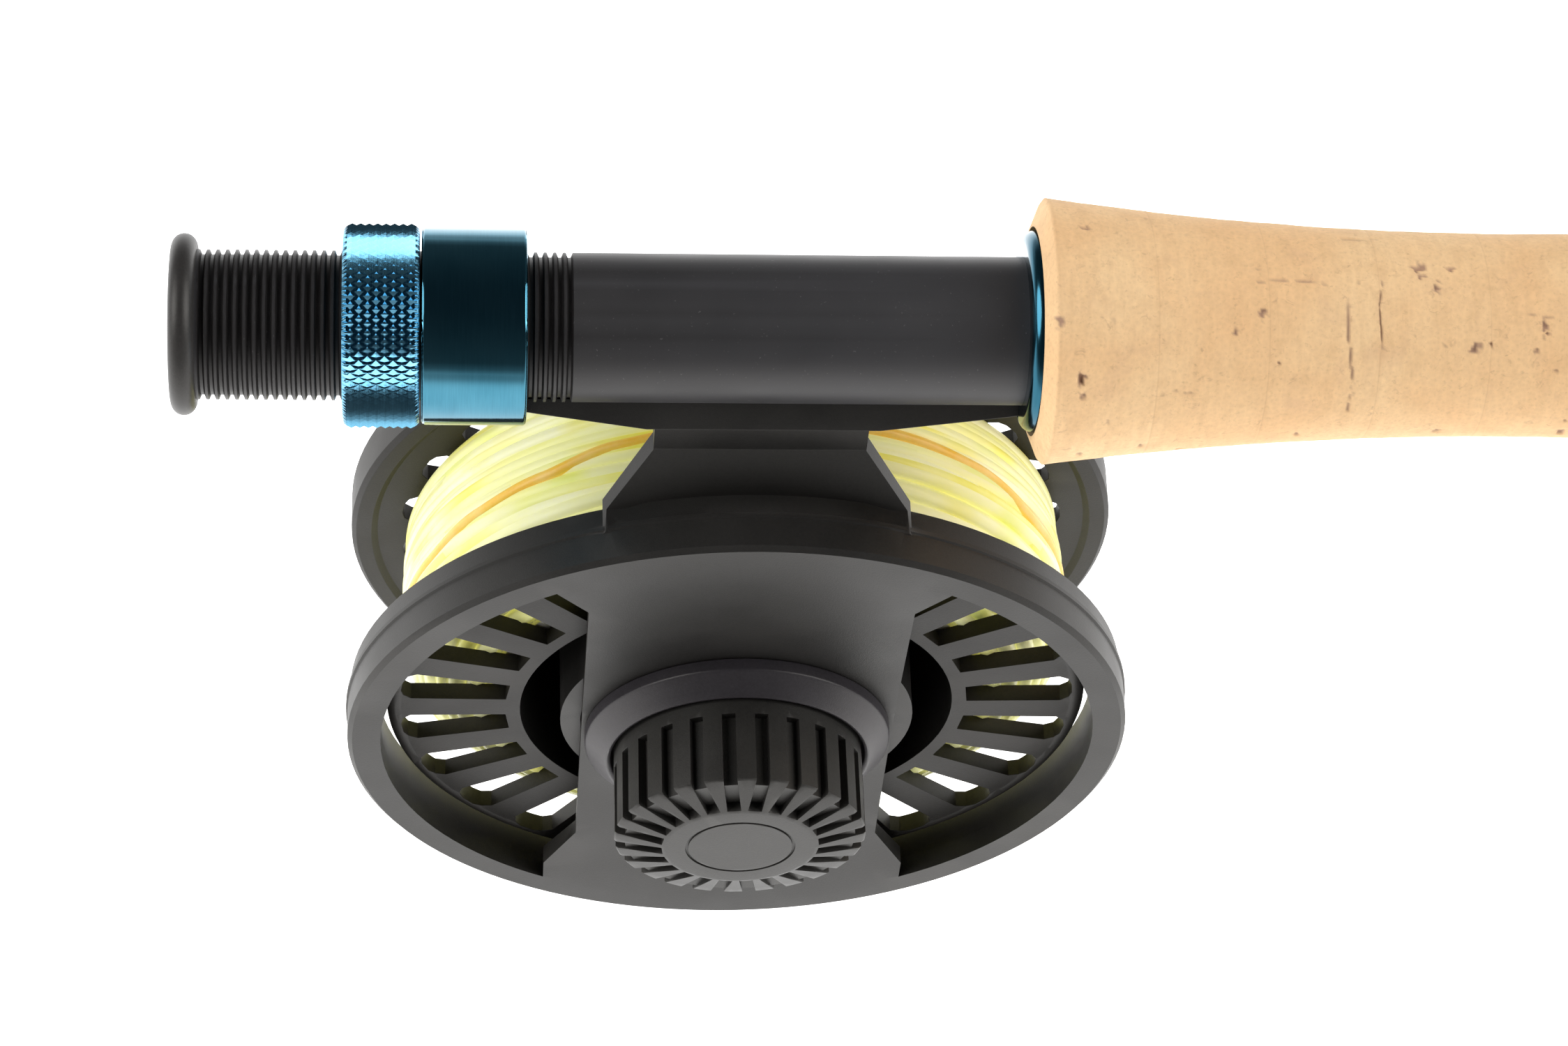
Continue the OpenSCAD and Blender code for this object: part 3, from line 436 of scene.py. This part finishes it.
def soften(name, width):
    """Breaks a CAD node's sharp edges, as a cast or turned part has them broken."""
    o = NODES[name]
    weld = o.modifiers.new("weld", "WELD")
    weld.merge_threshold = 2e-6
    b = o.modifiers.new("bevel", "BEVEL")
    b.width = width
    b.segments = 2
    b.limit_method = "ANGLE"
    b.angle_limit = math.radians(32)
    b.use_clamp_overlap = True
    n = o.modifiers.new("normals", "WEIGHTED_NORMAL")
    n.weight = 100


for name, width in (
    ("reel_frame", 0.22e-3), ("reel_foot", 0.12e-3), ("slide_hood", 0.18e-3), ("front_hood", 0.12e-3),
    ("butt_cap", 0.10e-3), ("drag_bezel", 0.15e-3), ("drag_knob", 0.12e-3), ("spool", 0.18e-3),
    ("spool_cap", 0.15e-3), ("counterweight", 0.15e-3),
):
    soften(name, width)


def add_piece(name, mesh, mat, body, stands_for):
    """Adds a piece that rides on a body in place of a CAD node."""
    mesh.materials.append(mat)
    o = bpy.data.objects.new(name, mesh)
    scene.collection.objects.link(o)
    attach(o, body)
    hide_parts(stands_for)


def mesh_of(name, verts, faces, smooth=True):
    """A mesh from vertices in metres and faces."""
    me = bpy.data.meshes.new(name)
    me.from_pydata(verts, [], faces)
    me.validate()
    if smooth:
        me.polygons.foreach_set("use_smooth", [True] * len(me.polygons))
    me.update()
    return me


def band(first, second, cols):
    """The faces between two rings of vertices, by the index that each ring starts at."""
    pairs = [(j, (j + 1) % cols) for j in range(cols)]
    return [(first + j, first + k, second + k, second + j) for j, k in pairs]


def colour_points(me, name, tints):
    """Keeps a colour for each vertex, for a material to read."""
    layer = me.attributes.new(name, "FLOAT_COLOR", "POINT")
    layer.data.foreach_set("color", [c for tint in tints for c in (*tint, 1)])


def flip_outward(me):
    """Turns a closed mesh's faces to the outside."""
    bm = bmesh.new()
    bm.from_mesh(me)
    bmesh.ops.recalc_face_normals(bm, faces=bm.faces)
    bm.to_mesh(me)
    bm.free()


# ---------------------------------------------------------------- knurled lock ring


def triangle_wave(t):
    """0 at whole numbers and 1 half way between them."""
    return 1 - abs(2 * (t - math.floor(t)) - 1)


def knurled_ring(name):
    """The lock ring with a diamond knurl, a small pyramid for each diamond, and chamfered ends."""
    lo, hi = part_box("lock_ring")
    outer, bore = hi.z, 8.56 * MM
    # Diamonds round the ring, mesh columns in each, and mesh rows along the ring
    diamonds, per_diamond, rows = 68, 4, 18
    depth, bevel, drop = 0.44 * MM, 0.6 * MM, 0.66 * MM
    cols, step = diamonds * per_diamond, (hi.x - lo.x) / rows
    verts, faces = [], []

    def around(x, r, j):
        a = 2 * math.pi * j / cols
        return (x, r * math.sin(a), r * math.cos(a))

    def point(i, j):
        x = i * step
        u, v = i / per_diamond, j / per_diamond
        h = min(triangle_wave(u + v), triangle_wave(u - v))
        to_end = min(x, hi.x - lo.x - x)
        r = min(outer - depth * (1 - h), outer - drop * (1 - min(1, to_end / bevel)))
        return around(lo.x + x, r, j)

    for i in range(rows + 1):
        verts += [point(i, j) for j in range(cols)]
    for i in range(rows):
        for a, b, c, d in band(i * cols, (i + 1) * cols, cols):
            m = len(verts)
            verts.append(point(i + 0.5, a - i * cols + 0.5))
            faces += [(a, m, b), (b, m, c), (c, m, d), (d, m, a)]
    near, top = len(verts), rows * cols
    far = near + cols
    for x in (lo.x, hi.x):
        verts += [around(x, bore, j) for j in range(cols)]
    faces += band(0, near, cols) + band(near, far, cols) + band(far, top, cols)
    me = mesh_of(name, verts, faces, False)
    flip_outward(me)
    return me


# A lighter copy of the blue anodise for the knurled ring: painted light, brightening it as its facets'
# reflections do.
knurl_lit_skin = anodised_blue("knurl_lit_blue_skin", (0.085, 0.25, 0.37), (0.12, 0.31, 0.44), 0.17, 0.002 * MM)
knurl_mesh = knurled_ring("knurled_lock_ring")
add_piece("knurled_lock_ring", knurl_mesh, knurl_lit_skin, "lock_ring", "lock_ring")

# ---------------------------------------------------------------- wound line
SPOOL_LO, SPOOL_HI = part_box("spool")
SPIN = Vector(((SPOOL_LO.x + SPOOL_HI.x) / 2, 0, (SPOOL_LO.z + SPOOL_HI.z) / 2))
# The winding's outline, in mm: place across the spool, and radius
PACK = [
    (-10.0, 31.3), (-8.5, 35.6), (-7.0, 38.6), (-5.0, 40.8), (-3.4, 41.4),
    (1.0, 41.7), (6.0, 41.7), (10.0, 41.4), (12.8, 41.1),
]
PACK_FLOOR = 31.0
# The strands, in mm: how many, the first one's place and the next ones' spacing, radius, and centre's depth
STRANDS, FIRST_Y, PITCH = 24, -9.3, 0.92
STRAND_R, STRAND_SINK = 1.28, 1.22
ORANGE_R, ORANGE_SINK = 0.80, 0.42
# The orange turn's way: degrees round the spool, and place across it in mm
ORANGE_WAY = [
    (-110, -1.2), (-68, -0.6), (-52, 0.4), (-37, 1.1), (-23, 2.5), (0, 3.7),
    (27, 4.8), (42, 4.4), (62, 3.0), (100, 1.5), (180, -0.5), (250, -1.2),
]
# Points in each turn
ROUND = 200
CREAM, LEMON, YELLOW = (0.97, 0.96, 0.58), (0.96, 0.94, 0.30), (0.95, 0.84, 0.06)
LIME, AMBER = (0.74, 0.83, 0.10), (0.92, 0.50, 0.045)


def pack_radius(y):
    """The wound line's radius at a place across the spool, in mm."""
    if y <= PACK[0][0]:
        return PACK[0][1]
    for (y0, r0), (y1, r1) in zip(PACK, PACK[1:]):
        if y <= y1:
            return r0 + (r1 - r0) * (y - y0) / (y1 - y0)
    return PACK[-1][1]


def wound_point(a, y, r):
    """A point of the winding, from an angle, a place across the spool and a radius in mm."""
    return Vector((SPIN.x + r * MM * math.sin(a), y * MM, SPIN.z + r * MM * math.cos(a)))


class Tubes:
    """Round strands gathered in one mesh, each vertex with its own tint."""

    SIDES = 10

    def __init__(self):
        self.v, self.f, self.tint = [], [], []

    def closed(self, centres, radius, tints):
        n, base = len(centres), len(self.v)
        for i, c in enumerate(centres):
            ahead = (centres[(i + 1) % n] - centres[i - 1]).normalized()
            out = c - SPIN
            out.y = 0
            side = ahead.cross(out).normalized()
            out = side.cross(ahead).normalized()
            for k in range(self.SIDES):
                a = 2 * math.pi * k / self.SIDES
                self.v.append(c + (side * math.cos(a) + out * math.sin(a)) * radius)
                self.tint.append(tints[i])
        for i in range(n):
            self.f += band(base + i * self.SIDES, base + (i + 1) % n * self.SIDES, self.SIDES)

    def mesh(self, name):
        me = mesh_of(name, self.v, self.f)
        colour_points(me, "tint", self.tint)
        flip_outward(me)
        return me


def blend_tint(a, b, t):
    """The colour that lies a share t of the way from a to b."""
    return tuple(p + (q - p) * t for p, q in zip(a, b))


def strand_tints(seed):
    """A strand's colours round the spool: mostly cream and lemon, with yellow and lime stretches."""
    out = []
    for i in range(ROUND):
        a = 2 * math.pi * i / ROUND
        p = Vector((math.cos(a) * 2.2, math.sin(a) * 2.2, seed * 3.7))
        t = noise.noise(p) * 0.5 + 0.5
        u = noise.noise(p * 1.9 + Vector((5, 1, 9))) * 0.5 + 0.5
        c = blend_tint(CREAM, LEMON, min(1, max(0, (t - 0.25) * 2)))
        c = blend_tint(c, YELLOW, min(0.8, max(0, (u - 0.60) * 4)))
        c = blend_tint(c, LIME, min(0.6, max(0, (0.36 - u) * 4)))
        out.append(c)
    return out


def strand_way(y0, rng):
    """One turn of line, which wanders across the spool except near the flange on the frame's side."""
    inner = y0 > -5
    amp = rng.uniform(0.5, 1.5) if inner else 0.12
    p1, p2, lift = rng.uniform(0, 6.28), rng.uniform(0, 6.28), rng.uniform(0, 6.28)
    points = []
    for i in range(ROUND):
        a = 2 * math.pi * i / ROUND
        y = y0 + amp * math.sin(a + p1) + 0.35 * amp * math.sin(2 * a + p2)
        y = min(11.9, max(-9.2, y))
        rise = 0.10 * math.sin(2 * a + lift) + 0.05 * math.sin(5 * a + p1) if inner else 0.0
        points.append(wound_point(a, y, pack_radius(y) - STRAND_SINK + rise))
    return points


def orange_way():
    """The marked turn, which lies on top of the others and crosses them."""
    points = []
    for i in range(ROUND):
        deg = ORANGE_WAY[0][0] + 360 * i / ROUND
        for (a0, y0), (a1, y1) in zip(ORANGE_WAY, ORANGE_WAY[1:]):
            if a0 <= deg <= a1:
                t = (deg - a0) / (a1 - a0)
                y = y0 + (y1 - y0) * t * t * (3 - 2 * t)
        points.append(wound_point(math.radians(deg), y, pack_radius(y) - ORANGE_SINK))
    return points


def wound_line():
    """The strands, the orange turn, and a solid core that closes the gaps under them."""
    rng = random.Random(11)
    tubes = Tubes()
    for k in range(STRANDS):
        tubes.closed(strand_way(FIRST_Y + PITCH * k, rng), STRAND_R * MM, strand_tints(k + 1))
    tubes.closed(orange_way(), ORANGE_R * MM, [AMBER] * ROUND)
    base = len(tubes.v)
    core = [(y, r - 0.9) for y, r in PACK]
    rings = [(PACK[0][0], PACK_FLOOR)] + core + [(PACK[-1][0], PACK_FLOOR)]
    for y, r in rings:
        tubes.v += [wound_point(2 * math.pi * i / ROUND, y, r) for i in range(ROUND)]
        tubes.tint += [LEMON] * ROUND
    for q in range(len(rings)):
        tubes.f += band(base + q * ROUND, base + (q + 1) % len(rings) * ROUND, ROUND)
    return tubes.mesh("wound_line")


def line_skin(name):
    """Coated line in the mesh's own tints: soft plastic with a painted glow, an emission in its own colour
    that stands in for the brightness of a fluorescent dye.
    """
    k = Mat(name, rough=0.42, spec=0.45, coat=0.15, coat_rough=0.25)
    k.b.inputs["Subsurface Weight"].default_value = 0.35
    k.b.inputs["Subsurface Radius"].default_value = (1.0, 1.0, 0.45)
    k.b.inputs["Subsurface Scale"].default_value = 1.2e-3
    tint = k.node("ShaderNodeVertexColor", layer_name="tint").outputs["Color"]
    fine = k.noise(0.5e-3, 3.0, 0.6)
    cloud = k.noise(5e-3, 2.0, 0.5)
    body = k.mix(k.span(cloud, 0.4, 0.75, 0.0, 0.22), tint, (0.96, 0.96, 0.70))
    body = k.mix(k.span(fine, 0.3, 0.7, 0.0, 0.14), body, (0.84, 0.80, 0.24))
    k.colour(body)
    # The body colour also glows as emission: painted light in the line's own tints, standing in for the
    # fluorescent dye.
    k.join(body, k.b.inputs["Emission Color"])
    k.b.inputs["Emission Strength"].default_value = 0.15
    k.bump(fine, 0.015 * MM)
    return k.m


add_piece("wound_line", wound_line(), line_skin("wound_line_skin"), "spool", "fly_line")

# ---------------------------------------------------------------- cork grip
GRIP_LO, GRIP_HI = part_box("cork_grip")
GRIP_X0, GRIP_X1 = GRIP_LO.x / MM, GRIP_HI.x / MM
CORK_RINGS = 13
RING_LEN = (GRIP_X1 - GRIP_X0) / CORK_RINGS
LIP_X, WAIST_X, SWELL_X, WAIST_R = 99, 152.5, 195, 11.7
BLANK_BORE, TUBE_BORE, HOOD_BORE, MOUTH_R = 4.93, 8.53, 11.03, 12.0
SEAM_HALF, SEAM_DEPTH = 0.12, 0.05
GRIP_COLS = 240
# The pits in view: place along the rod in mm, degrees round it, size and depth in mm
PITS = [
    (99.1, 28.2, 0.7, 0.6), (101.7, 53.8, 0.9, 0.8), (102.05, 60.9, 0.6, 0.5), (102.6, -20.2, 0.8, 0.6),
    (140.7, -6.4, 1.1, 0.7), (144.3, -6.9, 0.7, 0.45), (142.5, 5.7, 0.8, 0.5), (146.7, 40.2, 0.8, 0.55),
    (122.4, 22.9, 0.8, 0.5), (119.2, 32.8, 0.6, 0.4),
]
# The cracks in view: points as place and degrees, then width and depth in mm
CRACKS = [
    ((132.3, 12), (132.1, 34), (133.0, 60), (132.9, 78), 0.20, 0.26),
    ((136.3, 2), (135.7, 18), (136.1, 40), 0.17, 0.22),
    ((122.0, 5.9), (126.0, 3.9), (130.0, 5.5), 0.19, 0.22),
    ((132.6, -29.4), (134.6, -30.6), (136.7, -31.0), 0.18, 0.22),
    ((112.4, 61), (114.0, 63.5), (115.2, 62.0), 0.15, 0.16),
    ((153.0, 21), (155.6, 23.0), 0.16, 0.2),
]


def grip_radius(x):
    """The grip's outline, in mm: a lip, a taper to the waist, a swell and a rounded front end."""
    if x < LIP_X:
        return 12.3 + 3.0 * (x - GRIP_X0) / 1.2
    if x < WAIST_X:
        return WAIST_R + 3.6 * ((WAIST_X - x) / (WAIST_X - LIP_X)) ** 2
    if x < SWELL_X:
        return WAIST_R + 0.9 * (1 - math.cos(math.pi * (x - WAIST_X) / (SWELL_X - WAIST_X))) / 2
    return 7.6 + 5.0 * (1 + math.cos(math.pi * (x - SWELL_X) / (GRIP_X1 - SWELL_X))) / 2


def carve(r, spots, x, a, ragged):
    """How deep the pits are at a place, in mm."""
    drop = 0.0
    for px, pa, size, depth in spots:
        dx = x - px
        if abs(dx) > 3 * size:
            continue
        da = math.radians((a - pa + 180) % 360 - 180) * r
        d = math.hypot(dx * 1.25, da * 0.8) / (size * (0.10 + 1.35 * ragged))
        if d < 1:
            drop = max(drop, depth * 0.8 * (1 - d * d))
    return drop


def carve_lines(r, x, a, ragged):
    """How deep the cracks are at a place, in mm."""
    drop = 0.0
    for crack in CRACKS:
        *way, width, depth = crack
        if not min(p[0] for p in way) - 1 < x < max(p[0] for p in way) + 1:
            continue
        px, pa = x, math.radians((a + 180) % 360 - 180) * r
        for (x0, a0), (x1, a1) in zip(way, way[1:]):
            q0, q1 = math.radians(a0) * r, math.radians(a1) * r
            ex, ea = x1 - x0, q1 - q0
            t = min(1, max(0, ((px - x0) * ex + (pa - q0) * ea) / (ex * ex + ea * ea)))
            d = math.hypot(px - x0 - t * ex, pa - q0 - t * ea) / (width * (0.5 + ragged))
            if d < 1:
                drop = max(drop, depth * (1 - d * d))
    return drop


def cork_spots():
    """All pits by millimetre along the grip: those in view, and others scattered with a fixed seed."""
    rng = random.Random(5)
    spots = list(PITS)
    for i in range(230):
        size = rng.choice((0.35, 0.4, 0.5, 0.6, 0.8))
        x = rng.uniform(GRIP_X0 + 2, GRIP_X1 - 1)
        a = rng.uniform(-180, 180)
        in_view = x < 150 and -50 < a < 95
        if in_view and (size > 0.5 or i % 2):
            continue
        spots.append((x, a, size, size * 0.7))
    slices = {}
    for spot in spots:
        for at in range(int(spot[0] - 3), int(spot[0] + 4)):
            slices.setdefault(at, []).append(spot)
    return slices


def cork_stations(seams):
    """Where the cross sections lie: closer in the part in view, and three at each seam."""
    stations, x = [], GRIP_X0
    while x < GRIP_X1:
        stations.append(x)
        x += 0.34 if x < 160 else 0.62
    clear = {q for q in stations if min(abs(q - m) for m in seams) > 0.16}
    at_seams = {m + e for m in seams for e in (-SEAM_HALF, 0, SEAM_HALF)}
    return sorted(clear | at_seams) + [GRIP_X1]


def grip_point(x, t, r):
    """A point of the grip in metres, from a place along it, an angle and a radius in mm."""
    return (x * MM, -r * MM * math.sin(t), r * MM * math.cos(t))


def cork_mesh():
    """The grip with its glued rings' seams, its pits and cracks, and its stepped bore."""
    seams = [GRIP_X0 + RING_LEN * i for i in range(1, CORK_RINGS)]
    stations, slices = cork_stations(seams), cork_spots()
    degrees = [-180 + 360 * j / GRIP_COLS for j in range(GRIP_COLS)]
    verts, pits_seams_and_shade = [], []
    for x in stations:
        base = grip_radius(x)
        seam = max(0, 1 - min(abs(x - m) for m in seams) / SEAM_HALF)
        near = slices.get(int(x), [])
        edge = min(1, (x - GRIP_X0) / 0.6)
        for a in degrees:
            t = math.radians(a)
            p = Vector((x * 0.9, base * math.sin(t) * 0.9, base * math.cos(t) * 0.9))
            ragged = min(1, max(0, noise.noise(p * 1.9) * 0.9 + 0.45))
            pit = max(carve(base, near, x, a, ragged), carve_lines(base, x, a, ragged))
            swell = 0.05 * noise.noise(p * 0.18) + 0.03 * noise.noise(p * 0.7)
            verts.append(grip_point(x, t, base + (swell - 0.03) * edge - pit * edge - SEAM_DEPTH * seam))
            # First channel: pit and crack depth, for darker pores that are partly painted shade; second:
            # the seams.
            pits_seams_and_shade.append((min(1, pit / 0.30), seam * 0.5, 0))
    faces = []
    for i in range(len(stations) - 1):
        faces += band(i * GRIP_COLS, (i + 1) * GRIP_COLS, GRIP_COLS)
    outside = len(faces)
    last = (len(stations) - 1) * GRIP_COLS
    for x, r in (
        (GRIP_X1, BLANK_BORE), (GRIP_X0 + 2 * RING_LEN, BLANK_BORE),
        (GRIP_X0 + 2 * RING_LEN, TUBE_BORE), (GRIP_X0 + RING_LEN, TUBE_BORE),
        (GRIP_X0 + RING_LEN, HOOD_BORE), (GRIP_X0 + 1.8, HOOD_BORE),
        (GRIP_X0 + 1.8, MOUTH_R), (GRIP_X0, MOUTH_R),
    ):
        at = len(verts)
        verts += [grip_point(x, math.radians(a), r) for a in degrees]
        pits_seams_and_shade += [(0, 0, 0)] * GRIP_COLS
        faces += band(last, at, GRIP_COLS)
        last = at
    faces += band(last, 0, GRIP_COLS)
    me = mesh_of("sanded_cork", verts, faces)
    colour_points(me, "pits_seams_and_shade", pits_seams_and_shade)
    flip_outward(me)
    sharp = me.attributes.new("sharp_face", "BOOLEAN", "FACE")
    sharp.data.foreach_set("value", [i >= outside for i in range(len(faces))])
    return me


def grip_skin():
    """Cork that is darker in the mesh's pits and cracks by their depth, as the pores' own colour and as
    painted shade, and darker along its seams.
    """
    k = cork_skin("grip_cork_skin", (0.90, 0.565, 0.285), (0.95, 0.665, 0.365), (0.42, 0.24, 0.16))
    pits_seams_and_shade = k.node("ShaderNodeVertexColor", layer_name="pits_seams_and_shade").outputs["Color"]
    parts = k.node("ShaderNodeSeparateColor")
    k.join(pits_seams_and_shade, parts.inputs[0])
    clean = k.b.inputs["Base Color"].links[0].from_socket
    # Pits and cracks darkened by depth: the pores' own colour and painted shade.
    marks_and_painted_light = k.mix(k.span(parts.outputs[0], 0.05, 0.9, 0.0, 0.78), clean, (0.34, 0.20, 0.155))
    k.colour(k.mix(k.calc(parts.outputs[1], 0.32, "MULTIPLY"), marks_and_painted_light, (0.50, 0.31, 0.19)))
    return k.m


add_piece("sanded_cork", cork_mesh(), grip_skin(), "butt_section", "cork_grip")

# ---------------------------------------------------------------- floor
FLOOR_HALF, FLOOR_GAP = 40, 0.4 * MM
GLOW, GLOW_FAR, GLOW_FALL = 1.5, 0.32, 9.0


def pale_skin():
    """A pale floor that is brightest under the rod and fades evenly to both sides."""
    k = Mat("pale_floor", rough=0.9, spec=0.0)
    k.b.inputs["Base Color"].default_value = (0.42, 0.42, 0.42, 1)
    k.b.inputs["Emission Color"].default_value = (1, 1, 1, 1)
    axes = k.node("ShaderNodeSeparateXYZ")
    k.join(k.place, axes.inputs[0])
    away = k.calc(axes.outputs["Y"], axes.outputs["Y"], "MULTIPLY")
    fall = k.calc(k.calc(k.calc(away, away, "MULTIPLY"), GLOW_FALL, "MULTIPLY"), 1.0)
    k.join(k.calc(k.calc(GLOW, fall, "DIVIDE"), GLOW_FAR), k.b.inputs["Emission Strength"])
    return k.m


floor_z = cad_lo.z - FLOOR_GAP
corners = [(x * FLOOR_HALF, y * FLOOR_HALF, floor_z) for x, y in ((-1, -1), (1, -1), (1, 1), (-1, 1))]
floor_mesh = mesh_of("floor", corners, [(0, 1, 2, 3)], False)
floor_mesh.materials.append(pale_skin())
floor = bpy.data.objects.new("floor", floor_mesh)
scene.collection.objects.link(floor)

soft_sun("left_panel", (0.80, 0.0, -0.58), 46, 2.35)
soft_sun("right_panel", (-0.80, 0.0, -0.58), 46, 2.35)
